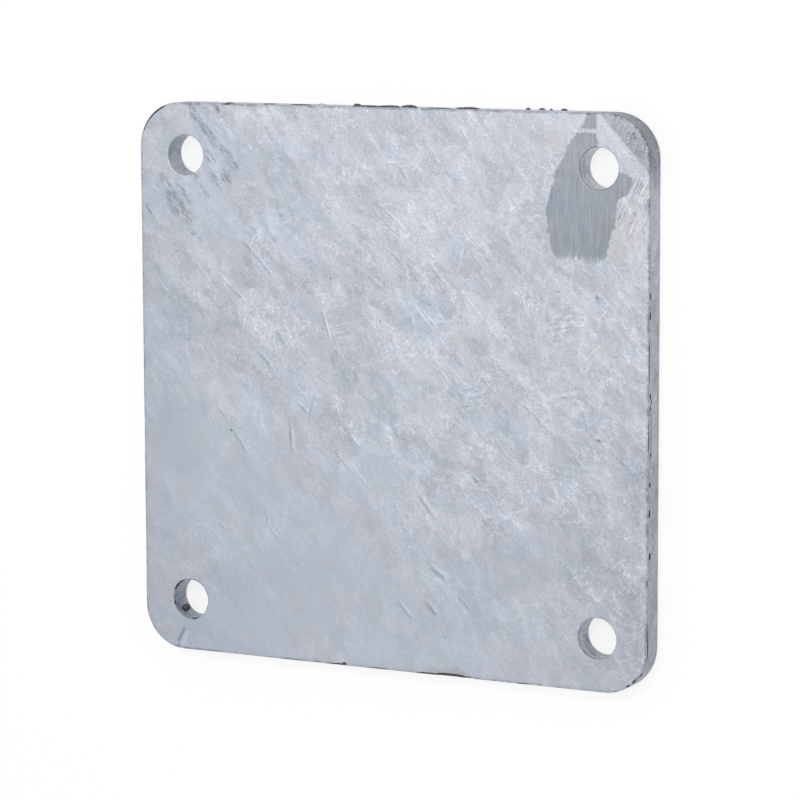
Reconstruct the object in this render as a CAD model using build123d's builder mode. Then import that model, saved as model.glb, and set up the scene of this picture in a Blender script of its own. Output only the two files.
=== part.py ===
"""Cover plate: one flat piece of steel plate, hot-dip galvanised after it was cut and drilled.

The plate closes an opening and is held by four bolts, one through each corner.

Frame, in millimetres:
    origin  centre of the seat face, the side that lies against what is covered
    +Z      out of the plate, from the seat face to the outer face
    +X, +Y  along the two pairs of sides
"""

import os

from build123d import *

# ---- Driving dimensions ------------------------------------------------------

plate_width = 250.0  # along X
plate_height = 250.0  # along Y
plate_thickness = 12.0  # along Z

corner_radius = 20.0  # of the outline, at all four corners
edge_round = 0.6  # softened cut edge under the zinc, on both faces

hole_diameter = 18.0  # clearance hole for an M16 bolt
hole_spacing_x = 203.0  # from centre to centre
hole_spacing_y = 203.0


# ---- The plate ---------------------------------------------------------------

with BuildPart() as cover_plate:
    # The blank: a rectangle with round corners, cut from plate of one thickness.
    with BuildSketch(Plane.XY) as blank:
        RectangleRounded(plate_width, plate_height, corner_radius)
    extrude(amount=plate_thickness)

    # The outer face and the seat face are the two ends of the extrusion.
    outer_face = cover_plate.faces().sort_by(Axis.Z)[-1]

    # Four bolt holes on a rectangle, drilled from the outer face right through.
    with Locations(outer_face):
        with GridLocations(hole_spacing_x, hole_spacing_y, 2, 2):
            Hole(hole_diameter / 2)

    # Both faces' rims are softened: the outline and the mouths of the holes.
    flat_faces = cover_plate.faces().filter_by(Axis.Z)
    fillet(flat_faces.edges(), edge_round)

cover_plate.part.label = "cover_plate"


# ---- Files -------------------------------------------------------------------

os.makedirs("parts", exist_ok=True)
export_step(cover_plate.part, "parts/cover_plate.step")
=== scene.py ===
# %% [markdown]
# # A galvanised cover plate
# One flat square of steel plate with four bolt holes. After cutting and drilling it was
# dipped in a bath of molten zinc, and the zinc froze on it as a pale, mottled, slightly
# lumpy coat. Nearly all of its looks come from that coat: crystals, runs, flakes at the
# edges, and one place where a fitter ground the coat smooth.
#
# The solid that the plate was designed as is already in the scene, so we measure it
# first. Every size below starts from those measures, and the finished plate can then
# be held against them.

import math

import bmesh
import bpy
from mathutils import Matrix, Vector


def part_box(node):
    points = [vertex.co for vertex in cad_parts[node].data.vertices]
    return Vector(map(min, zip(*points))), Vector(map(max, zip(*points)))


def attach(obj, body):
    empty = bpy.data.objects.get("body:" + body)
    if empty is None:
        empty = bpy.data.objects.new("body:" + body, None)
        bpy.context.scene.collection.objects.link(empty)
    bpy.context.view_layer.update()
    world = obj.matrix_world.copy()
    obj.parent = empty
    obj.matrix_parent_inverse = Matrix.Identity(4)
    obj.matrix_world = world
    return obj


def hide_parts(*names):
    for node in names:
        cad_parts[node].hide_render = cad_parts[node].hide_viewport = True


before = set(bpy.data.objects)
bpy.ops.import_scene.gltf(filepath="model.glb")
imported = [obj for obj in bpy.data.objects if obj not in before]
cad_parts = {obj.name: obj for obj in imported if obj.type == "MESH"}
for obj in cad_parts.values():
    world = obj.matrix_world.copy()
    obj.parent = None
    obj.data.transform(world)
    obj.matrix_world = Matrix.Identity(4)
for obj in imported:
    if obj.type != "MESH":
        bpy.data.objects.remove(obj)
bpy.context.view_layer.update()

MM = 0.001
plate_low, plate_high = (Vector(corner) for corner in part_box("cover_plate"))
middle = (plate_low + plate_high) / 2
width, height, thickness = plate_high - plate_low
print("plate", [round(v / MM, 2) for v in (width, height, thickness)], "mm")

# %% [markdown]
# ## Mixing a finish from patterns
# A finish here is a recipe: patterns laid over each other, step by step. Blender keeps
# a recipe as boxes joined by wires, and a rich one has hundreds. Wiring them one at a
# time would bury the idea, so each helper below adds one box, wires it up and hands
# back its result, and a whole layer then reads as one line.

# %% Start a recipe and add a step to it
def start_recipe(owner):
    """Empties the recipe of a material or of the world and takes it in hand."""
    global tree
    owner.use_nodes = True
    tree = owner.node_tree
    tree.nodes.clear()


def add(kind, inputs=None, result=0, **settings):
    """Adds one step. Inputs are numbers, colours or earlier results, by socket."""
    made = tree.nodes.new("ShaderNode" + kind)
    for name, value in settings.items():
        setattr(made, name, value)
    for socket, value in (inputs or {}).items():
        if isinstance(value, bpy.types.NodeSocket):
            tree.links.new(value, made.inputs[socket])
        else:
            made.inputs[socket].default_value = value
    return made.outputs[result] if made.outputs else made


print("a recipe can be started")

# %% [markdown]
# ## Sums in a recipe
# Most steps are plain sums, so they get short names. The one to remember is `rise`: it
# turns any pattern into a mask, 0 below one value and 1 above another, with a soft
# slope between. A mask made from a cloudy pattern has the torn edge of real frost.

# %% Helpers for sums
def sums(operation, *values):
    return add("Math", dict(enumerate(values)), operation=operation)


def plus(*values):
    total = values[0]
    for value in values[1:]:
        total = sums("ADD", total, value)
    return total


def times(*values):
    total = values[0]
    for value in values[1:]:
        total = sums("MULTIPLY", total, value)
    return total


def less(a, b):
    return sums("SUBTRACT", a, b)


def opposite(mask):
    return less(1.0, mask)


def off_zero(value):
    """How far the value is from 0, either way."""
    return sums("ABSOLUTE", value)


def rise(value, low, high, start=0.0, end=1.0):
    """Goes smoothly from start to end while the value goes from low to high."""
    return add(
        "MapRange",
        {"Value": value, "From Min": low, "From Max": high, "To Min": start, "To Max": end},
        interpolation_type="SMOOTHSTEP",
        clamp=False,
    )


def past(value, edge, soft):
    """0 well below the edge, 1 well past it, and a slope of this half-width between."""
    return rise(value, edge - soft, edge + soft)


def swing(value, amount=1.0):
    """Turns a 0 to 1 pattern into one that swings by the amount either side of 0."""
    return times(less(value, 0.5), 2.0 * amount)


def layers(*rows):
    """Lays patterns over each other; each row is a pattern and how strongly it shows."""
    total = 0.0
    for pattern, amount in rows:
        total = plus(total, times(pattern, amount))
    return total


print("sums have names")

# %% [markdown]
# ## The stage
# A pale floor and a soft white surround. Zinc is half a mirror, so what it looks like
# depends on what stands round it: with white all round it reads pale and even. The
# floor shows nearly white by a glow of its own rather than by strong lamps, which would
# bleach the zinc. The rest of its brightness comes from the lamps, so that the plate
# still casts a shadow on it.

# %% Floor
white_share = 0.74  # how much of the floor's brightness doesn't depend on the lamps
daylight = 0.72  # how bright a white card lying on the floor comes out
gap_under_plate = 0.2 * MM


def seen_directly():
    """1 for what the camera sees straight on, in a mirror or through glass, else 0."""
    seen = add("LightPath", result="Is Camera Ray")
    for kind in ("Is Glossy Ray", "Is Transmission Ray"):
        seen = sums("MAXIMUM", seen, add("LightPath", result=kind))
    return seen


bpy.ops.object.select_all(action="DESELECT")
bpy.ops.mesh.primitive_plane_add(size=12, location=(0, 0, plate_low.z - gap_under_plate))
floor = bpy.context.active_object
floor.name = "floor"
floor_paint = bpy.data.materials.new("pale_floor")
start_recipe(floor_paint)
pale_card = add("BsdfDiffuse", {"Color": (0.8, 0.8, 0.8, 1)})
shadow_catcher = add("BsdfDiffuse", {"Color": ((1 - white_share) / daylight,) * 3 + (1,)})
own_glow = add("Emission", {"Strength": white_share})
white_card = add("AddShader", {0: shadow_catcher, 1: own_glow})
floor_face = add("MixShader", {0: seen_directly(), 1: pale_card, 2: white_card})
add("OutputMaterial", {"Surface": floor_face})
floor.data.materials.append(floor_paint)
print("floor at", round(floor.location.z / MM, 2), "mm")

# %% Surround
surround_light = 0.5  # what the white surround adds to the lamps

world = bpy.data.worlds.new("studio")
bpy.context.scene.world = world
start_recipe(world)
brightness = plus(surround_light, times(seen_directly(), 1 - surround_light))
surround = add("Background", {"Color": (1, 1, 1, 1), "Strength": brightness})
add("OutputWorld", {"Surface": surround})
print("surround", surround_light, "on the plate, 1 where it is seen")

# %% [markdown]
# ## Two soft lamps
# The coat's waves are a few hundredths of a millimetre high and show only if the light
# comes from one side more than the other. A broad lamp over the upper right does the
# work, and a weaker one over the left fills the shadows. Both are wide discs, because a
# small lamp would put a hard glint on every lump.

# %% Lamps
def soft_lamp(name, place, size, power):
    """A round lamp of this width that looks at the middle of the floor."""
    data = bpy.data.lights.new(name, "AREA")
    data.shape = "DISK"
    data.size = size
    data.energy = power
    lamp = bpy.data.objects.new(name, data)
    bpy.context.collection.objects.link(lamp)
    lamp.location = place
    lamp.rotation_euler = (-Vector(place)).to_track_quat("-Z", "Y").to_euler()
    return lamp


key = soft_lamp("key_lamp", (0.25, 0.45, 1.5), 1.0, 6.3)
fill = soft_lamp("fill_lamp", (-0.9, -0.3, 1.6), 1.2, 1.2)
print("lamps", round(key.data.energy, 2), round(fill.data.energy, 2), "W")

# %% [markdown]
# ## The camera
# The plate lies as it comes to rest, on its seat face, and the camera looks down on it
# from the right, far off and with a long lens, so that its sides stay nearly parallel.
# We build the camera's turn from three directions, right, up and back, so that the plate's +Y
# points up in the frame and a slight lean can be added.

# %% Camera
lens = 160.6  # mm, on a 36 mm wide frame
camera_place = Vector((0.7168, 0.2117, 1.3946))
looks_at = Vector((0.0065, -0.0032, plate_high.z))
lean = math.radians(-0.2)

camera = bpy.data.objects.new("camera", bpy.data.cameras.new("camera"))
bpy.context.collection.objects.link(camera)
camera.data.sensor_width = 36
camera.data.lens = lens
back = (camera_place - looks_at).normalized()
right = Vector((0, 1, 0)).cross(back).normalized()
up = back.cross(right)
right, up = (
    right * math.cos(lean) + up * math.sin(lean),
    up * math.cos(lean) - right * math.sin(lean),
)
camera.matrix_world = Matrix((right, up, back)).transposed().to_4x4()
camera.location = camera_place
bpy.context.scene.camera = camera
bpy.context.scene.view_settings.view_transform = "Standard"
print("camera", round((camera_place - looks_at).length, 3), "m away")

# %% [markdown]
# ## The blank
# Plate comes from the mill as a flat bar. It is cut square and its four corners are
# rounded, so nobody cuts a hand on them. We start from a plain block and make the same
# cuts in the same order, because a shape made the way the real one was made gets its
# edges in the right places. The three helpers choose what the next tool works on.

# %% Choose what a tool works on
def only(piece):
    """Makes this the one chosen object."""
    bpy.ops.object.select_all(action="DESELECT")
    piece.select_set(True)
    bpy.context.view_layer.objects.active = piece


def edit(kind):
    """Opens the chosen object's mesh, with nothing in it chosen yet."""
    bpy.ops.object.mode_set(mode="EDIT")
    bpy.ops.mesh.select_mode(type=kind)
    bpy.ops.mesh.select_all(action="DESELECT")


def choose(kind, test):
    """In an open mesh, picks every face or edge that passes the test."""
    shape = bmesh.from_edit_mesh(bpy.context.active_object.data)
    for part in getattr(shape, kind):
        part.select_set(bool(test(part)))
    shape.select_flush_mode()
    bmesh.update_edit_mesh(bpy.context.active_object.data)


print("only, edit and choose are ready")

# %% Cut the blank and round its corners
corner_radius = 20 * MM

zinc, flaked, dross = (
    bpy.data.materials.new(name) for name in ("zinc_coat", "flaked_spots", "dross_crust")
)
bpy.ops.object.select_all(action="DESELECT")
bpy.ops.mesh.primitive_cube_add(size=1, location=middle, scale=(width, height, thickness))
bpy.ops.object.transform_apply(location=True, rotation=True, scale=True)
plate = bpy.context.active_object
plate.name = plate.data.name = "galvanised_plate"
plate.data.materials.append(zinc)
edit("EDGE")
choose("edges", lambda e: abs(e.verts[0].co.z - e.verts[1].co.z) > thickness / 2)
bpy.ops.mesh.bevel(offset=corner_radius, segments=16, affect="EDGES")
bpy.ops.object.mode_set(mode="OBJECT")
print("blank:", len(plate.data.polygons), "faces")

# %% [markdown]
# ## Bolt holes and rims
# Each corner has a hole for a 16 mm bolt with 2 mm to spare. A hole could be bevelled
# and bridged out of the faces, but a round cutter pushed through and taken away is what
# a drill does, and it leaves a true wall. The zinc then rounds every rim a little, so
# the rims are softened last, the outline and the holes together.

# %% Drill the four bolt holes
hole_radius = 9 * MM
hole_offset = 203 / 2 * MM  # from the plate's middle, along each side
rim_round = 0.6 * MM


def combine(piece, tool, operation):
    """Adds the tool's shape to the piece or cuts it away, and puts the tool away."""
    only(piece)
    step = piece.modifiers.new("combine", "BOOLEAN")
    step.object, step.operation, step.solver = tool, operation, "EXACT"
    step.material_mode = "TRANSFER"
    bpy.ops.object.modifier_apply(modifier=step.name)
    bpy.data.objects.remove(tool)


for side in (-1, 1):
    for end in (-1, 1):
        place = middle + Vector((side * hole_offset, end * hole_offset, 0))
        bpy.ops.mesh.primitive_cylinder_add(
            vertices=64, radius=hole_radius, depth=3 * thickness, location=place
        )
        combine(plate, bpy.context.active_object, "DIFFERENCE")
edit("EDGE")
bpy.ops.mesh.edges_select_sharp(sharpness=math.radians(40))
bpy.ops.mesh.bevel(offset=rim_round, segments=3, affect="EDGES")
bpy.ops.object.mode_set(mode="OBJECT")
print("drilled and rounded:", len(plate.data.polygons), "faces")

# %% [markdown]
# ## Dross and flaked edges
# Skimmings from the bath stick to the edge that comes out last, as dark crusts and
# beads. Where an edge was knocked afterwards, the coat flaked off in shells. Each crust
# is a lumpy pebble joined to the plate; each flake is the same pebble cut away, which
# leaves a shell-shaped hollow painted like the metal under the coat.

# %% A lumpy pebble
def pebble(place, size, paint, seed, lumpy=0.3):
    """A lumpy stone of this half-size, with places and sizes in millimetres."""
    bpy.ops.object.select_all(action="DESELECT")
    bpy.ops.mesh.primitive_ico_sphere_add(subdivisions=3, radius=1.0)
    stone = bpy.context.active_object
    bpy.ops.object.mode_set(mode="EDIT")
    bpy.ops.mesh.select_all(action="SELECT")
    bpy.ops.transform.vertex_random(offset=lumpy, seed=seed)
    bpy.ops.mesh.vertices_smooth(factor=0.5, repeat=2)
    bpy.ops.object.mode_set(mode="OBJECT")
    stone.scale = Vector(size) * MM
    stone.location = Vector(place) * MM
    bpy.ops.object.transform_apply(location=True, rotation=True, scale=True)
    stone.data.materials.append(paint)
    return stone


edge = width / MM / 2  # mm from the middle to any side
top = thickness / MM
print("sides", edge, "mm out, show face", round(top, 2), "mm up")

# %% Cut the flakes: place and half-size of each hollow
flakes_lost = [
    # chips and thin lines along the right edge, from the top down
    ((edge, 48, top - 1.4), (0.5, 1.6, 0.7)),
    ((edge, 39.5, top - 1.6), (0.5, 1.8, 0.8)),
    ((edge, 20, top - 0.7), (0.45, 11, 0.4)),
    ((edge, 5, top - 2.1), (0.6, 1.5, 0.8)),
    ((edge, 2.6, top - 3.1), (0.5, 1.6, 0.5)),
    ((edge, 0, top - 2.0), (0.6, 1.3, 0.7)),
    ((edge, -10.5, top - 3.1), (0.5, 9.8, 0.32)),
    ((edge, -20.3, top - 2.6), (0.6, 0.9, 0.8)),
    ((edge, -12, top - 0.6), (0.4, 8, 0.35)),
    ((edge, -33, top - 2.1), (0.6, 1.2, 0.9)),
    ((edge, -45.5, top - 2.0), (0.6, 1.9, 1.0)),
    ((edge, -64, top - 2.4), (0.7, 1.8, 1.1)),
    ((edge, -104, top - 1.0), (0.6, 8.5, 0.5)),
    # the knocked lower right corner
    ((121.8, -116.0, top - 1.4), (1.2, 2.2, 1.0)),
    ((119.6, -119.2, top - 0.6), (1.8, 1.3, 0.9)),
    ((117, -121.2, top - 0.2), (1.6, 0.8, 0.6)),
    # the lower edge, with the long rusty chip first
    ((20, -edge, top), (6.5, 1.0, 0.8)),
    ((31, -edge, top), (9.5, 1.7, 1.6)),
    ((40, -edge, top - 0.2), (3.2, 1.1, 1.6)),
    ((-25, -edge, top), (4.6, 1.0, 0.8)),
    ((-22, -124.2, top), (1.2, 0.8, 0.3)),
    ((-48, -edge, top - 0.2), (6.5, 0.6, 0.6)),
    ((-6, -edge, top - 0.1), (6.0, 0.5, 0.5)),
    ((66, -edge, top - 0.1), (3.0, 0.8, 0.6)),
    # one on the upper edge
    ((-80, edge, top - 0.1), (2.6, 0.6, 0.6)),
]
for seed, (place, size) in enumerate(flakes_lost):
    combine(plate, pebble(place, size, flaked, seed), "DIFFERENCE")
print(len(flakes_lost), "flakes cut")

# %% Join the crusts and beads: place and half-size of each
crusts = [
    # along the upper edge, where the plate left the bath
    ((-79.5, edge, 9.5), (2.2, 0.5, 1.2)),
    ((-60, edge, 8), (3.5, 0.35, 2.5)),
    ((-43.5, edge, 9), (5.5, 0.45, 1.3)),
    ((-16, edge, 8), (2.2, 1.2, 1.0)),
    ((-10, edge, 9.0), (7.5, 0.7, 2.2)),
    ((0, edge, 8), (5.5, 0.9, 2.6)),
    ((9, edge, 7), (4.2, 1.2, 1.8)),
    ((24.5, edge, 9.2), (6.5, 0.45, 1.3)),
    ((38, edge, 7), (6.0, 0.9, 2.8)),
    # four specks low on the same edge
    ((64, edge, 2.2), (1.2, 0.9, 0.6)),
    ((70.5, edge, 2.2), (1.7, 1.0, 0.5)),
    ((75, edge, 2.4), (0.8, 0.7, 0.5)),
    ((81, edge, 2.2), (1.5, 0.9, 0.5)),
    # a clot in the lower left bolt hole
    ((-108.0, -107.2, 4.2), (1.5, 1.8, 2.2)),
]
beads = [  # of clean zinc: one on the right edge, one on the upper
    ((edge, -66.4, 9.6), (0.7, 0.8, 0.7)),
    ((-34, edge, 8), (2.4, 0.9, 1.4)),
]
for seed, (place, size) in enumerate(crusts):
    combine(plate, pebble(place, size, dross, seed + 50, 0.45), "UNION")
for seed, (place, size) in enumerate(beads):
    combine(plate, pebble(place, size, zinc, seed + 90, 0.4), "UNION")
print(len(crusts), "crusts and", len(beads), "beads joined;", len(plate.data.polygons), "faces")

# %% [markdown]
# ## A fine mesh for the coat
# The coat's waves are too small for big flat faces to show, so we slice the plate along
# and across, like scoring a tray of toffee. The show face gets twice as many slices as
# the rest, since that is where the eye goes.

# %% Slice the plate
coarse = 2.5 * MM  # between slices, everywhere but on the show face
row = 1.2 * MM  # between slices through the thickness


def slice_up(axis, low, high, step):
    """Cuts the open mesh into slices of about this step along one axis."""
    slices = round((high - low) / step)
    for count in range(1, slices):
        place, normal = [0, 0, 0], [0, 0, 0]
        place[axis], normal[axis] = low + (high - low) * count / slices, 1
        bpy.ops.mesh.select_all(action="SELECT")
        bpy.ops.mesh.bisect(plane_co=place, plane_no=normal)


edit("FACE")
slice_up(2, plate_low.z + rim_round, plate_high.z - rim_round, row)
slice_up(0, plate_low.x, plate_high.x, coarse)
slice_up(1, plate_low.y, plate_high.y, coarse)
choose("faces", lambda f: f.calc_center_median().z > plate_high.z - 1.2 * rim_round)
bpy.ops.mesh.hide(unselected=True)
slice_up(0, plate_low.x + coarse / 2, plate_high.x - coarse / 2, coarse)
slice_up(1, plate_low.y + coarse / 2, plate_high.y - coarse / 2, coarse)
bpy.ops.mesh.reveal()
bpy.ops.mesh.select_all(action="SELECT")
bpy.ops.mesh.normals_make_consistent(inside=False)
bpy.ops.object.mode_set(mode="OBJECT")
print("sliced:", len(plate.data.polygons), "faces")

# %% [markdown]
# ## Waves in the coat
# Molten zinc runs as the plate is drawn out of the bath, and freezes in low waves that
# lean the way it drained. The waves are a few hundredths of a millimetre high. They
# show only where light grazes them, but without them metal looks like paper. A guide
# turned to the drain and stretched along it sets the way the waves lie.

# %% Raise the waves
drain_angle = math.radians(-50)  # the way the zinc drained across the show face


def wave(piece, size, height, stretch, shift):
    """Pushes the surface in and out by a soft random pattern, longer along the drain."""
    pattern = bpy.data.textures.new("waves", "CLOUDS")
    pattern.noise_scale, pattern.noise_depth = 1.0, 1
    guide = bpy.data.objects.new("guide", None)
    bpy.context.collection.objects.link(guide)
    guide.rotation_euler.z = drain_angle
    guide.scale = (size * stretch, size, size)
    guide.location = (shift, shift, 0)
    bpy.context.view_layer.update()
    push = piece.modifiers.new("push", "DISPLACE")
    push.texture, push.texture_coords, push.texture_coords_object = pattern, "OBJECT", guide
    push.strength, push.mid_level = height, 0.5
    only(piece)
    bpy.ops.object.modifier_apply(modifier=push.name)
    bpy.data.objects.remove(guide)


wave(plate, 30 * MM, 0.16 * MM, 1.6, 0.3)
wave(plate, 6 * MM, 0.07 * MM, 3.0, 0.7)
only(plate)
bpy.ops.object.shade_smooth_by_angle(angle=math.radians(50))
print("waves raised; plate now", [round(v / MM, 2) for v in plate.dimensions], "mm")

# %% [markdown]
# ## Patterns for the zinc coat
# All patterns of the coat read the same places: millimetres from the plate's origin,
# so that a size in the recipe is a size on the steel. A pattern is turned by turning
# the places it reads, and its edges are frayed by nudging them about at random.

# %% Places, clouds and fraying
start_recipe(zinc)


def vector(operation, a, b, result=0):
    return add("VectorMath", {0: a, 1: b}, result, operation=operation)


def length(place):
    return vector("LENGTH", place, (0, 0, 0), "Value")


def parts(value, kind="SeparateColor"):
    """Takes a colour or a place apart into its three numbers."""
    pulled = tree.nodes.new("ShaderNode" + kind)
    tree.links.new(value, pulled.inputs[0])
    return list(pulled.outputs)


def clouds(place, size, detail=2.0, rough=0.5, twist=0.0, result="Fac"):
    """A soft random pattern whose blobs are about this many millimetres across."""
    look = {
        "Vector": place,
        "Scale": 1.0 / size,
        "Detail": detail,
        "Roughness": rough,
        "Distortion": twist,
    }
    return add("TexNoise", look, result, noise_dimensions="3D")


def turned(place, angle, stretch):
    """The same places seen along a slanting direction, squeezed along it."""
    spun = add("VectorRotate", {"Vector": place, "Angle": -angle}, rotation_type="Z_AXIS")
    return vector("MULTIPLY", spun, (1.0 / stretch, 1.0, 1.0))


def drained(place, stretch):
    """The same places, squeezed along the way the zinc drained."""
    return turned(place, drain_angle, stretch)


def ragged(place, size, reach, detail=3.0):
    """The same places nudged about at random, which frays every edge drawn on them."""
    random_colour = clouds(at, size, detail, 0.65, result="Color")
    nudge = vector("SUBTRACT", random_colour, (0.5, 0.5, 0.5))
    return vector("ADD", place, vector("MULTIPLY", nudge, (reach, reach, reach)))


spot = add("TexCoord", result="Object")
at = vector("MULTIPLY", spot, (1 / MM, 1 / MM, 1 / MM))
frayed = ragged(at, 4, 4.0, 4)
wavy = ragged(at, 25, 14.0, 2)
shaky = ragged(at, 1.6, 1.6, 3)
x_mm, y_mm, z_mm = parts(at, "SeparateXYZ")
x_shaky, y_shaky, _ = parts(shaky, "SeparateXYZ")
print("places ready, in millimetres")

# %% [markdown]
# ## Crystals
# As zinc freezes it grows crystals, and each catches the light its own way. So the coat
# is a patchwork: flat flakes a little lighter or darker than their neighbours, each
# scored with fine feathers that run its own way. A cell pattern gives every flake one
# random colour, and we take its tone, its feather direction and its tint from that
# colour's three parts, which keeps the recipe short.

# %% Flakes and their feathers
def flakes(place, size, stretch):
    """Three random values for each crystal flake of about this size."""
    cells = add("TexVoronoi", {"Vector": drained(place, stretch), "Scale": 1 / size}, "Color")
    return parts(cells)


def feathers(turn, size, long):
    """Fine scoring whose direction depends on the flake it lies in."""
    angle = times(turn, math.tau)
    spun = add("VectorRotate", {"Vector": at, "Angle": angle}, rotation_type="Z_AXIS")
    return swing(clouds(vector("MULTIPLY", spun, (1 / long, 1, 1)), size, 2, 0.7))


big_tone, big_turn, big_tint = flakes(frayed, 13, 1.7)
small_tone, small_turn, small_tint = flakes(ragged(at, 2, 1.8, 3), 5.0, 1.8)
feather = plus(
    times(feathers(big_turn, 1.0, 6), big_tint, 0.20),
    times(feathers(small_turn, 0.8, 5), small_tint, 0.16),
)
flake_tone = plus(swing(big_tone, 0.058), swing(small_tone, 0.06), feather)
print("flakes of 13 and 5 mm, with feathers")

# %% [markdown]
# ## Frost, runs and grain
# Over the flakes lie patches of frost, where many small crystals froze at once, and the
# long pale lines in which the zinc ran off. Both are cloudy patterns squeezed along the
# drain. The runs and the frosty grain are stronger inside the frost, as on the real
# thing, where smooth zinc and frosted zinc meet at a torn edge.

# %% Frost, drain lines and grain
frost_area = rise(clouds(drained(frayed, 1.5), 24, 5, 0.7), 0.47, 0.54)
frost_grain = swing(clouds(ragged(at, 2, 1.5), 2.0, 3, 0.8, 0.6))
lace = rise(clouds(drained(frayed, 1.6), 5, 5, 0.8), 0.485, 0.53)
drain_lines = swing(clouds(drained(wavy, 10), 2.0, 4, 0.7))
long_waves = swing(clouds(drained(wavy, 6), 7.0, 3, 0.6))
grain = swing(clouds(at, 0.8, 2, 0.9))
frost_tone = plus(
    times(less(frost_area, 0.5), 0.05),
    times(less(lace, 0.5), 0.075),
    times(frost_grain, plus(0.05, times(frost_area, 0.13))),
    times(drain_lines, plus(0.06, times(frost_area, 0.10))),
    times(long_waves, 0.12),
    times(grain, 0.21),
)
print("frost, runs and grain laid")

# %% [markdown]
# ## Ridges, veins and wrinkles
# The skin of the zinc wrinkles as it sets, and thin bright ridges stand up along the
# drain. A thin line falls out of any soft pattern: it is where the pattern crosses its
# middle value. Each kind keeps to its own areas, so that none covers the whole plate.

# %% Thin lines in the coat
def near_zero(value, reach):
    """1 where the value is 0, fading out at this reach either side."""
    return rise(off_zero(value), reach, 0.0)


ridge_waves = swing(clouds(drained(frayed, 5), 5.0, 3, 0.6))
ridges = times(near_zero(ridge_waves, 0.045), rise(clouds(at, 15, 2), 0.5, 0.6))
flake_edge = add(
    "TexVoronoi",
    {"Vector": drained(frayed, 1.8), "Scale": 1 / 9},
    feature="DISTANCE_TO_EDGE",
)
veins = times(rise(flake_edge, 0.05, 0.0), rise(clouds(at, 9, 1), 0.48, 0.56))
crumbs = rise(clouds(ragged(at, 2, 1.5), 2.4, 3, 0.7), 0.60, 0.66)
fold = off_zero(swing(clouds(drained(ragged(at, 2.5, 2.0, 2), 1.8), 3.0, 3, 0.7)))
fold_and_shadow = plus(rise(fold, 0.05, 0.0), times(near_zero(plus(fold, -0.09), 0.05), -0.7))
wrinkles = times(fold_and_shadow, rise(clouds(at, 8, 2), 0.47, 0.56))
skin_tone = plus(
    flake_tone,
    frost_tone,
    layers((wrinkles, 0.20), (ridges, 0.25), (crumbs, 0.09), (veins, 0.13)),
)
skin_warmth = plus(
    swing(big_tint, 0.010), swing(small_turn, 0.007), times(less(frost_area, 0.5), -0.008)
)
print("the skin has", len(tree.nodes), "steps")

# %% [markdown]
# ## Marks of handling
# A plate that has been hung, dipped, knocked and fitted carries marks with definite
# places. Each is a mask: 1 inside the mark, 0 outside. We could paint them by hand on
# the plate, but a mask worked out from places stays sharp at any size, and its edge is
# frayed by the same nudging that frays the crystals.

# %% Shapes that a mark can have
def line_mark(x0, y0, x1, y1, half_width):
    """A thin mark from one place to another, with a faint lip along one side."""
    long = math.hypot(x1 - x0, y1 - y0)
    along = ((x1 - x0) / long, (y1 - y0) / long, 0)
    across = (-along[1], along[0], 0)
    from_start = vector("SUBTRACT", shaky, (x0, y0, top))
    travel = vector("DOT_PRODUCT", from_start, along, "Value")
    off = vector("DOT_PRODUCT", from_start, across, "Value")
    between_ends = rise(off_zero(plus(travel, -long / 2)), long / 2, long / 5)
    groove = near_zero(off, half_width)
    lip = near_zero(plus(off, half_width * -1.3), half_width)
    return times(plus(groove, times(lip, -0.5)), between_ends)


def oval(x, y, long, wide, angle=0.0, soft=0.5, place=frayed):
    """1 inside an oval area, fading out over the soft share of its size."""
    moved = vector("SUBTRACT", place, (x, y, top))
    lying = add(
        "VectorRotate", {"Vector": moved, "Angle": -math.radians(angle)}, rotation_type="Z_AXIS"
    )
    reach = length(vector("MULTIPLY", lying, (1 / long, 1 / wide, 0)))
    return rise(reach, 1.0 + soft / 2, 1.0 - soft / 2)


def all_of(mark, rows):
    """Adds up one kind of mark at many places; each row ends with its strength."""
    total = 0.0
    for *row, strength in rows:
        total = plus(total, times(mark(*row), strength))
    return total


def outline(y, points):
    """Follows a drawn side: x in mm at each y, with straight lines between."""
    low, high = points[0][0], points[-1][0]
    curve = add("FloatCurve", {"Value": rise(y, low, high)})
    share = curve.node.inputs["Value"].links[0].from_node
    share.interpolation_type, share.clamp = "LINEAR", True
    line = curve.node.mapping.curves[0]
    for count, (along, x) in enumerate(points):
        knot = ((along - low) / (high - low), x / (2 * edge) + 0.5)
        if count in (0, len(points) - 1):
            line.points[min(count, 1) and -1].location = knot
        else:
            line.points.new(*knot)
    for point in line.points:
        point.handle_type = "VECTOR"
    curve.node.mapping.update()
    return plus(times(curve, 2 * edge), -edge)


def strokes(angle, size, long, detail=3):
    """Fine brush or grinding lines that run at this angle, in degrees."""
    slant = turned(ragged(at, 12, 1.5, 1), math.radians(angle), long / size)
    return swing(clouds(slant, size, detail, 0.75))


print("marks can be lines, ovals, outlines and strokes")
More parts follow.
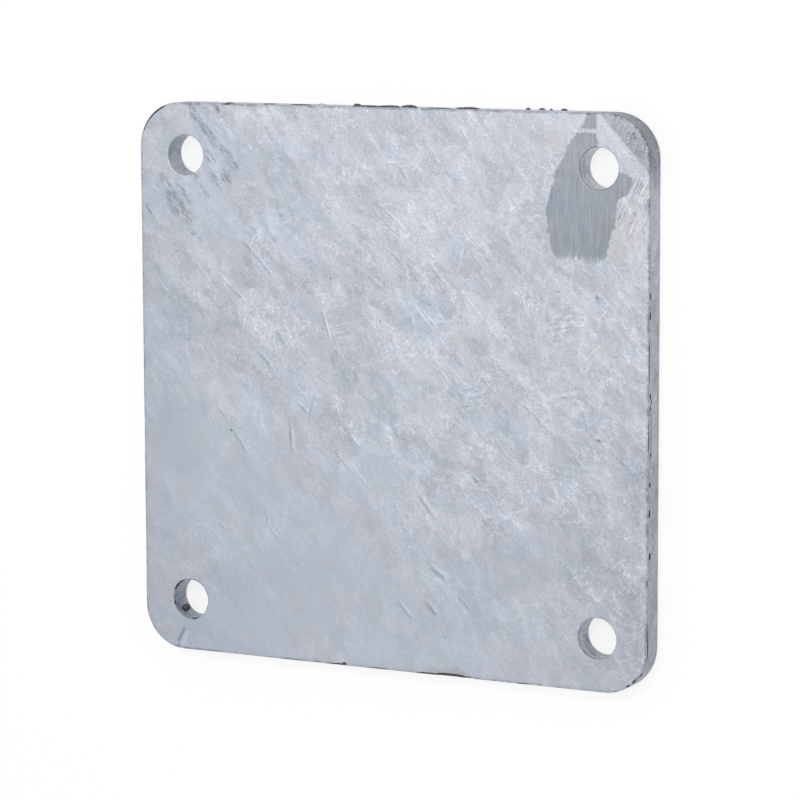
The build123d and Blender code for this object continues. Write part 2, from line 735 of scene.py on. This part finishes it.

# %% [markdown]
# ## The ground patch
# Round the upper right hole a fitter took the coat's lumps off with a brush in a grinder, so
# that a washer sits flat. The patch is darker, smoother and finely scored, and its lower end is
# feathered where the strokes ran out. Its two long sides follow listed points; the rest is cut
# off by straight edges.

# %% Outline of the ground patch
left_side = (
    (60, 82.5), (66, 80), (72, 78.3), (80, 76.8), (86, 77.3), (92, 79.3), (98, 80.8),
    (104, 84), (110, 87), (115, 90), (120, 94),
)
right_side = (
    (60, 105), (66, 105), (71, 106.5), (77, 109), (84, 109.7), (88.5, 110.3), (90.5, 114.5),
    (94, 117), (97.5, 117.3), (99.5, 114.5), (100.5, 110), (103, 104), (111, 101), (120, 101),
)
brush = strokes(87, 0.9, 14)
stroke_ends = times(strokes(90, 0.7, 20, 2), 3.6)
rough_edge = times(swing(clouds(at, 3.2, 3, 0.7)), 1.5)
x_edge = plus(x_shaky, rough_edge)
y_edge = plus(y_shaky, times(rough_edge, 0.7))
past_left_side = less(x_edge, outline(y_mm, left_side))
ground = times(
    past(past_left_side, 0, 0.45),
    past(less(outline(y_shaky, right_side), x_edge), 0, 0.6),
    past(plus(y_mm, stroke_ends), 63.0, 1.3),
    past(times(y_edge, -1.0), -116.6, 0.6),
)
top_piece = times(  # the strip that the brush left above, up to the rim
    past(less(x_edge, times(plus(y_mm, -117.5), 0.5)), 92.5, 0.7),
    past(times(x_edge, -1.0), -100.3, 0.6),
    past(y_edge, 118.2, 0.6),
)
fringe = times(  # torn white coat with dark flecks along the patch's left side
    past(past_left_side, -2.0, 0.4),
    opposite(ground),
    past(times(x_mm, -1.0), -96, 2),
    past(y_mm, 90, 4),
    past(times(y_mm, -1.0), -118, 1),
    rise(clouds(at, 1.5, 3, 0.8), 0.42, 0.58, -0.9, 1.0),
)
bare_of_crystals = sums("MAXIMUM", ground, top_piece)
print("patch outlined with", len(left_side) + len(right_side), "points")

# %% [markdown]
# ## The ground corner
# The same grinder went over the corner beyond the hole at a slant, and its disc skipped
# across the coat to the right of the patch. The line x + y, nearly, runs square to the
# slant, so the corner's edge and the pale band beside it are bands of that one sum.

# %% Corner, band and skipping scratches
hairlines = strokes(64, 0.7, 12)
hatching = strokes(-48, 0.8, 9)
to_corner = plus(y_shaky, times(x_shaky, 1.05))
corner_ground = times(past(to_corner, 231.5, 0.8), past(x_mm, 100, 1.0))
light_band = times(
    past(to_corner, 220.5, 4.0),
    past(times(to_corner, -1.0), -231.0, 0.8),
    past(x_mm, 100.5, 0.8),
    past(y_mm, 98, 2.5),
)
scratched = times(oval(119, 86, 13, 8.5, 75, 0.4), past(x_mm, 109, 0.8), opposite(ground))
brown_spot = times(
    oval(117, 115.5, 2.6, 1.8, -40, 0.9, shaky), rise(clouds(at, 1.2, 2), 0.4, 0.6)
)
print("corner ground,", len(tree.nodes), "steps so far")

# %% [markdown]
# ## Streaks and tints
# Flux that burnt on before the dip leaves dark streaks, here round the upper left hole,
# and they lean the way the zinc drained. Elsewhere the coat froze smooth and dark, or
# took a faint beige tint. All of these are ovals, given by place, half-length,
# half-width, angle, softness and strength; the frayed places break up their edges.

# %% Dark streaks
dark_spots = (  # place, half-length, half-width
    (-89.5, 111, 8, 2.2), (-79.5, 101.5, 8.5, 2.4), (-89, 101, 4.5, 1.6), (-80.5, 92.5, 4, 2.0),
    (-86.5, 90.5, 5, 1.6), (-97.5, 121, 6, 2.0), (-85, 122.5, 2.5, 1.2), (-105.5, 78, 9.5, 3.8),
    (-112.5, 90, 4.5, 2.0), (-103, 84, 5.5, 1.4), (-96.5, 92, 3.5, 1.2), (-91.5, 85.5, 4.0, 0.8),
    (-120, 76, 4, 1.0), (-99, 67, 3, 0.9), (-70, 61, 4, 0.9),
)
dark_area = 0.0
for streak in dark_spots:
    dark_area = sums("MAXIMUM", dark_area, oval(*streak, -50, 0.5))
streaky = plus(clouds(drained(at, 3), 2.0, 3, 0.75), times(hatching, 0.25))
dark_hatch = times(dark_area, rise(streaky, 0.38, 0.56))
print(len(dark_spots), "dark streaks")

# %% Beige tints, smooth areas, smears and the lifted skin
beige = all_of(
    oval,
    (
        (80, 112, 9, 5.5, 20, 0.6, 0.8), (115, 66, 8, 13, 0, 0.6, 0.8),
        (98, 24, 13, 7, 10, 0.7, 0.7), (90, 50, 12, 6, 0, 0.7, 0.4),
        (36, 25, 10, 5, -50, 0.5, 0.9), (43, 38, 8, 4, 0, 0.6, 0.5),
    ),
)
smooth_dark = all_of(
    oval,
    (
        (-104, -28, 16, 13, 0, 0.8, 0.9), (-80, 60, 9, 6, -30, 0.4, 0.8),
        (-38, 34, 9, 3.4, -50, 0.4, 0.9), (2, -37, 13, 8, -20, 0.6, 0.6),
        (-36, 17, 6, 3.5, 20, 0.4, 0.8), (72, -70, 20, 12, 30, 0.9, 0.7),
        (-60, -100, 50, 18, 20, 0.9, 0.5), (-98, 92, 34, 26, -20, 0.9, 0.55),
        (-118, 30, 12, 40, 0, 0.9, 0.4),
    ),
)
smears = all_of(
    oval,
    (
        (-92, -81, 9, 2.6, 28, 0.9, 1.0), (-101, -87, 7, 2.2, -12, 0.9, 0.8),
        (-81, -71, 5, 2, 10, 0.9, 0.9), (-60, -67, 9, 6, 30, 0.9, 0.7),
        (-99, 91, 4.5, 2.2, -10, 0.7, 0.9), (-55, -98, 8, 5, -30, 0.9, 0.5),
        (-85, -14, 7, 6, 0, 0.5, 0.6), (12, 107, 11, 7, -20, 0.5, 0.5),
        (-60, 121, 5, 5, 0, 0.8, 1.0), (73, -8, 12, 8, -20, 0.6, 0.5),
        (-118, -51, 3, 2, 0, 0.8, 0.8), (-118, -67, 3, 2, 0, 0.8, 0.8),
        (25, 18, 11, 6, -35, 0.6, 0.7), (-10, 50, 8, 5, -30, 0.5, 0.5),
    ),
)
flecks = rise(clouds(shaky, 1.8, 3, 0.7), 0.46, 0.6)
lifted = oval(29, -122.8, 12, 2.3, -2, 0.4, ragged(at, 5, 6.0, 3))
print("tints and smears laid")

# %% [markdown]
# ## Scratches, ridges and specks
# Chains and other plates left scratches, mostly along the way the plate was dragged.
# Thin ridges of zinc stand up where a run stopped. Both are thin lines from place to
# place; a scratch is dark and a ridge is bright, and a wider scratch is also deeper.
# The specks are bits of ash that the bath froze in.

# %% Scratches
scratches = (  # from, to, half-width
    (-71, 63, -57, 48, 0.8), (-49.2, -13, -48.7, -26, 0.7), (-49, -17, -48.2, -31, 0.9),
    (-40, -17, -36, -2, 0.7), (-46, -7, -39, -13, 0.8), (-88, -10, -79, -20, 0.6),
    (-79, -21, -70, -34, 0.8), (88, -21, 96, -30, 0.7), (14, -44, 25, -57, 1.1),
    (20, -76, 30, -83, 1.3), (4, -93, 13, -102, 0.9), (34, -88, 41, -95, 0.7),
    (18, -92, 25, -99, 1.1), (-104, -114, -109, -123, 1.3), (-66, 15, -58, 8, 0.9),
    (-57, 26, -50, 16, 1.0), (-75, 1, -70, -2, 0.6), (80, 48.6, 84, 48, 0.5),
    (94, -3, 97, -13, 0.6), (100, -15, 104, -15.3, 0.8), (108, -20, 117, -27, 0.5),
    (-28, -27, -17, -38, 0.7), (41, -34, 47, -40, 0.7), (0, 100.5, 6.5, 99.8, 0.7),
    (6, 100, 10, 93, 0.9), (-85, 125, -84, 119.5, 0.8), (-83.6, 122.5, -81.5, 120.5, 0.6),
    (123.8, 76, 121.5, 73.5, 0.5), (124, 71, 122.5, 72, 0.5), (-63, -55, -60, -66, 0.6),
    (-60, -65, -54, -72, 0.6), (-87, -64, -82, -69, 0.6), (-14, 80, -11, 79, 0.7),
    (-80, 45, -69, 33, 0.6), (118, 12, 124, 11, 0.7), (-79.5, -21.5, -78.5, -22.5, 1.0),
)
scratch = all_of(line_mark, [(*mark[:4], 1.3 * mark[4], mark[4]) for mark in scratches])
print(len(scratches), "scratches")

# %% Raised ridges
raised = (  # from, to, half-width
    (83, -15.5, 64, 2, 0.8), (70, 3, 61, 12, 0.6), (112, 39, 100, 50, 0.7),
    (116, 30, 112, 39, 0.5), (116, 51, 108, 61, 0.6), (93, 17, 104, 28, 0.6),
    (14, 68, -7, 87, 0.6), (5, 70.5, -5, 80, 0.6), (10, 57, -3, 66, 0.6),
    (24, 48, 4, 63, 0.7), (30, 24, 11, 45, 0.6), (42, 108, 36, 119, 0.6),
    (-27, 19, -33, 40, 0.8), (12, 25, -3, 31, 0.7), (-22, -20, -26, -3, 0.6),
    (-43, 3, -52, 14, 0.6), (-84, 38, -98, 56, 0.6), (-88, 25, -96, 36, 0.6),
    (-91, 11, -96, 17, 0.5), (-5, -48, -20, -30, 0.5), (62, -28, 50, -14, 0.5),
    (27, 12, 16, 24, 0.7), (96, -30, 85, -19, 0.5), (-2, 52, -11, 62, 0.7),
    (12, 53, 2, 64, 0.7), (27, 53, 19, 61, 0.6), (34, 45, 20, 59, 0.7),
    (25, 27, 12, 41, 0.8), (34, 16, 25, 27, 0.6), (49, 33, 38, 45, 0.7),
    (-27, 20, -32, 36, 0.8), (-19, 11, -27, 20, 0.6), (-22, -9, -27, -2, 0.7),
    (-13, -25, -22, -15, 0.8), (38, 67, 35, 53, 0.6), (3, 43, -13, 55, 0.8),
    (53, 3, 44, 13, 0.8), (-70, 36, -86, 50, 0.6), (-60, -25, -68, -8, 0.6),
)
ridge = all_of(line_mark, [(*mark, 1.0) for mark in raised])
print(len(raised), "ridges")

# %% Specks, ripples and the zigzag
specks = (  # place, radius
    (28.5, -107.5, 0.6), (102, -15, 0.6), (57, 26, 0.6), (67, 22, 0.5), (-28, 49, 0.6),
    (-26, 105, 0.7), (-26, 111, 0.6), (-53, 76, 0.6), (68, 45, 0.6), (101, 46, 0.9),
    (83, 48, 0.6), (87, -64, 0.5), (-79, -22, 0.9), (33, -13, 0.7), (-3, 31, 0.7),
    (-47, 28, 0.6), (39, -4, 0.6), (-108, -123.5, 0.9),
)
speck = 0.0
for x, y, radius in specks:
    speck = sums("MAXIMUM", speck, oval(x, y, radius, radius, place=shaky))
pitted_speck = times(speck, rise(clouds(at, 0.7, 1), 0.35, 0.6))
ripple_area = all_of(
    oval,
    (
        (88, 36, 9, 6, 8, 0.5, 1.0), (88, 3, 8, 3.5, 5, 0.6, 1.0),
        (41, 2, 6, 4, 40, 0.6, 0.9), (-22, 27, 5, 5, 0, 0.7, 0.6),
    ),
)
ripples = times(ripple_area, strokes(9, 0.9, 9, 1))
zigzag = times(oval(70, 44, 6, 5.5, -40, 0.6), strokes(-62, 0.9, 5, 2))
print(len(specks), "specks;", len(tree.nodes), "steps so far")

# %% [markdown]
# ## Rims, sides and hole walls
# The coat thins on a sharp rim and shows darker there, in dashes. To paint a rim we
# need the distance from the plate's outline. Past the straight part of a side, that
# distance is measured from the centre of the round corner, and elsewhere from the side.

# %% Where the rims are
corner_centre = edge - corner_radius / MM
past_x = plus(off_zero(x_mm), -corner_centre)
past_y = plus(off_zero(y_mm), -corner_centre)
past_corner = vector("MAXIMUM", add("CombineXYZ", {0: past_x, 1: past_y}), (0, 0, 0))
inward = sums("MINIMUM", sums("MAXIMUM", past_x, past_y), 0)
from_edge = less(corner_radius / MM, plus(length(past_corner), inward))
rim = times(rise(from_edge, 1.3, 0.5), rise(z_mm, 10.6, 11.2))
dashes = rise(clouds(at, 5, 3, 0.7), 0.48, 0.56)
frayed_rim = plus(from_edge, times(clouds(at, 2.5, 2), 1.6))
corner_rim = times(  # the black line round the upper left corner
    rise(frayed_rim, 1.9, 1.4), rise(z_mm, 10.4, 10.8), oval(-119, 118, 8, 6, 45, 0.5)
)
print("corner centres", round(corner_centre, 1), "mm out")

# %% Where the sides and the hole walls are
on_top = rise(z_mm, 11.0, 11.9)
below_top = opposite(on_top)
near_hole = rise(sums("MAXIMUM", off_zero(x_mm), off_zero(y_mm)), 114, 112)
in_hole = times(below_top, near_hole)
on_side = times(below_top, opposite(near_hole))
offset_mm = hole_offset / MM
from_hole = vector("MULTIPLY", vector("ADD", at, (offset_mm, offset_mm, 0)), (1, 1, 0))
rusty_rim = times(  # round the mouth of the lower left hole
    rise(off_zero(plus(length(from_hole), -9.1)), 0.55, 0.2),
    rise(clouds(at, 4.5, 3, 0.7), 0.5, 0.56),
    rise(z_mm, 8.5, 10.5),
)
peeled = times(  # a strip of the right side where the coat came off
    on_side,
    past(off_zero(plus(z_mm, -10.0)), 1.2, -0.2),
    past(off_zero(plus(y_mm, 10.5)), 9.8, -0.5),
    past(x_mm, 120, 1),
)
# painted shade on the side wall round the upper right corner
shaded_corner = times(on_side, past(plus(x_mm, y_mm), 222, 10))
cutter_ring = rise(off_zero(plus(z_mm, -7.5)), 0.5, 0.1)
print("sides and hole walls marked")

# %% [markdown]
# ## Laying the zinc finish together
# Everything meets in one tone, worked out as so much lighter or darker than plain zinc.
# Crystals fade where the metal is ground or froze smooth, and are livelier towards the
# upper right, where the coat is thickest. Each layer below is a mask and its strength.

# %% Tone of the crystals, and painted light across the plate
calm = opposite(layers((bare_of_crystals, 0.95), (smooth_dark, 0.7), (beige, 0.35)))
calm = sums("MAXIMUM", calm, 0.05)
thicker = plus(times(x_mm, 0.55), y_mm, times(clouds(at, 45, 2), 70))
busy = rise(thicker, -65, 40, 0.45, 1.1)
# Painted light: the whole plate lighter towards the top and a little towards the right, and
# darker out towards its left and right sides.
to_sides = sums("POWER", times(off_zero(x_mm), 1 / edge), 3.0)
painted_light_falloff = plus(-0.035, layers((y_mm, 0.00062), (x_mm, 0.00012), (to_sides, -0.075)))
print("crystals livelier to the upper right")

# %% Tone of the marks on the show face
ground_tone = plus(
    -0.40, layers((brush, 0.26), (long_waves, 0.10), (small_tone, -0.03))
)
corner_tone = plus(-0.24, layers((hairlines, 0.45), (small_tone, -0.06)))
marks = plus(
    times(bare_of_crystals, ground_tone),
    times(corner_ground, corner_tone),
    times(scratched, plus(-0.03, times(hairlines, 0.9))),
    times(smears, plus(0.01, times(flecks, 0.13))),
    layers(
        (light_band, 0.02),
        (fringe, 0.13),
        (dark_hatch, -0.30),
        (lifted, -0.11),
        (brown_spot, -0.30),
        (smooth_dark, -0.045),
        (beige, 0.02),
        (scratch, -0.24),
        (ridge, 0.17),
        (ripples, 0.42),
        (zigzag, 0.75),
        (pitted_speck, -0.42),
    ),
)
print("marks laid")

# %% Tone and warmth of the whole plate
# Painted shade in the bolt holes: their walls darker all over, under the coat's own mottling and
# the cutter's ring.
hole_tone = plus(
    -0.30,
    times(swing(small_tone), 0.09),
    times(frost_grain, 0.5),
    times(cutter_ring, lace, -0.25),
)
tone = plus(
    times(skin_tone, calm, busy),
    painted_light_falloff,
    times(in_hole, hole_tone),
    times(rim, plus(-0.07, times(dashes, -0.28))),
    layers(
        # painted shade: the sides a little darker, the side wall round the upper right corner
        # much darker
        (on_side, -0.10),
        (shaded_corner, -0.35),
        (rusty_rim, -0.75),
        (corner_rim, -0.75),
        (peeled, -0.12),
    ),
    times(on_top, marks),
)
marks_warmth = layers(
    (beige, 0.035), (scratched, 0.028), (brown_spot, 0.05), (lifted, 0.02), (smooth_dark, -0.008)
)
warmth = plus(
    skin_warmth,
    layers((tone, 0.05), (plus(x_mm, y_mm), 0.00005), (below_top, -0.002), (peeled, 0.05)),
    times(on_top, marks_warmth),
)
green = layers((bare_of_crystals, 0.004), (on_side, -0.008))
print("tone and warmth worked out")

# %% [markdown]
# ## The zinc surface
# Zinc is pale grey with a breath of blue. It is half metal, half dull oxide, so it is
# mixed half metallic, and more so in the holes and where it was ground. The colour is
# the plain grey times one plus the tone; warmth tips it to red and away from blue.

# %% Colour, roughness and relief
pale = (0.54, 0.573, 0.64)
bright = add(
    "CombineXYZ",
    {
        0: plus(1.0, tone, warmth),
        1: plus(1.0, tone, green),
        2: plus(1.0, tone, times(warmth, -1.0)),
    },
)
colour = vector("MULTIPLY", bright, pale)
rough = plus(
    0.47,
    layers((frost_area, 0.06), (drain_lines, 0.1), (bare_of_crystals, -0.08), (in_hole, -0.15)),
)
lumps = clouds(drained(at, 3), 3.0, 3, 0.7)
pores = clouds(at, 0.9, 2, 0.8)
relief = layers((lumps, 0.055), (pores, 0.015))
bump = add("Bump", {"Strength": 0.6, "Distance": 1.0 * MM, "Height": relief})
metal = plus(0.5, layers((in_hole, 0.3), (bare_of_crystals, 0.1)))
surface = add(
    "BsdfPrincipled",
    {"Base Color": colour, "Metallic": metal, "Roughness": rough, "Normal": bump},
)
add("OutputMaterial", {"Surface": surface})
print("zinc finish:", len(tree.nodes), "steps")

# %% [markdown]
# ## Under the coat, and the dross
# Where the coat flaked off, the iron under it is nearly black, with rust where water
# has sat. The dross is a dull grey-brown crust. They differ only in their colours, so
# one short recipe makes both: grit between a dark and a light, then a stain over it.

# %% Finish for the flaked spots and the dross
for paint, dark, light, rust in (
    (flaked, (0.035, 0.035, 0.042), (0.15, 0.15, 0.17), (0.15, 0.09, 0.065)),
    (dross, (0.05, 0.048, 0.06), (0.30, 0.30, 0.34), (0.085, 0.075, 0.085)),
):
    start_recipe(paint)
    at = vector("MULTIPLY", add("TexCoord", result="Object"), (1 / MM, 1 / MM, 1 / MM))
    grit = clouds(at, 0.9, 3, 0.8)
    grit_share = rise(grit, 0.42, 0.62)
    stain_share = rise(clouds(at, 5, 2, 0.6), 0.5, 0.62, 0, 0.75)
    gritty = add("Mix", {0: grit_share, 6: (*dark, 1), 7: (*light, 1)}, 2, data_type="RGBA")
    stained = add("Mix", {0: stain_share, 6: gritty, 7: (*rust, 1)}, 2, data_type="RGBA")
    surface = add(
        "BsdfPrincipled",
        {
            "Base Color": stained,
            "Metallic": 0.1,
            "Roughness": plus(0.55, times(grit, 0.3)),
            "Normal": add("Bump", {"Strength": 0.7, "Distance": 0.3 * MM, "Height": grit}),
        },
    )
    add("OutputMaterial", {"Surface": surface})
print("crust and flaked spots painted")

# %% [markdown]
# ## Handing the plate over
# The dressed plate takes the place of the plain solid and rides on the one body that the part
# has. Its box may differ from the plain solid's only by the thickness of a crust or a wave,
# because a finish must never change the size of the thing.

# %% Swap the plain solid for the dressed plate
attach(plate, "root")
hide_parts("cover_plate")
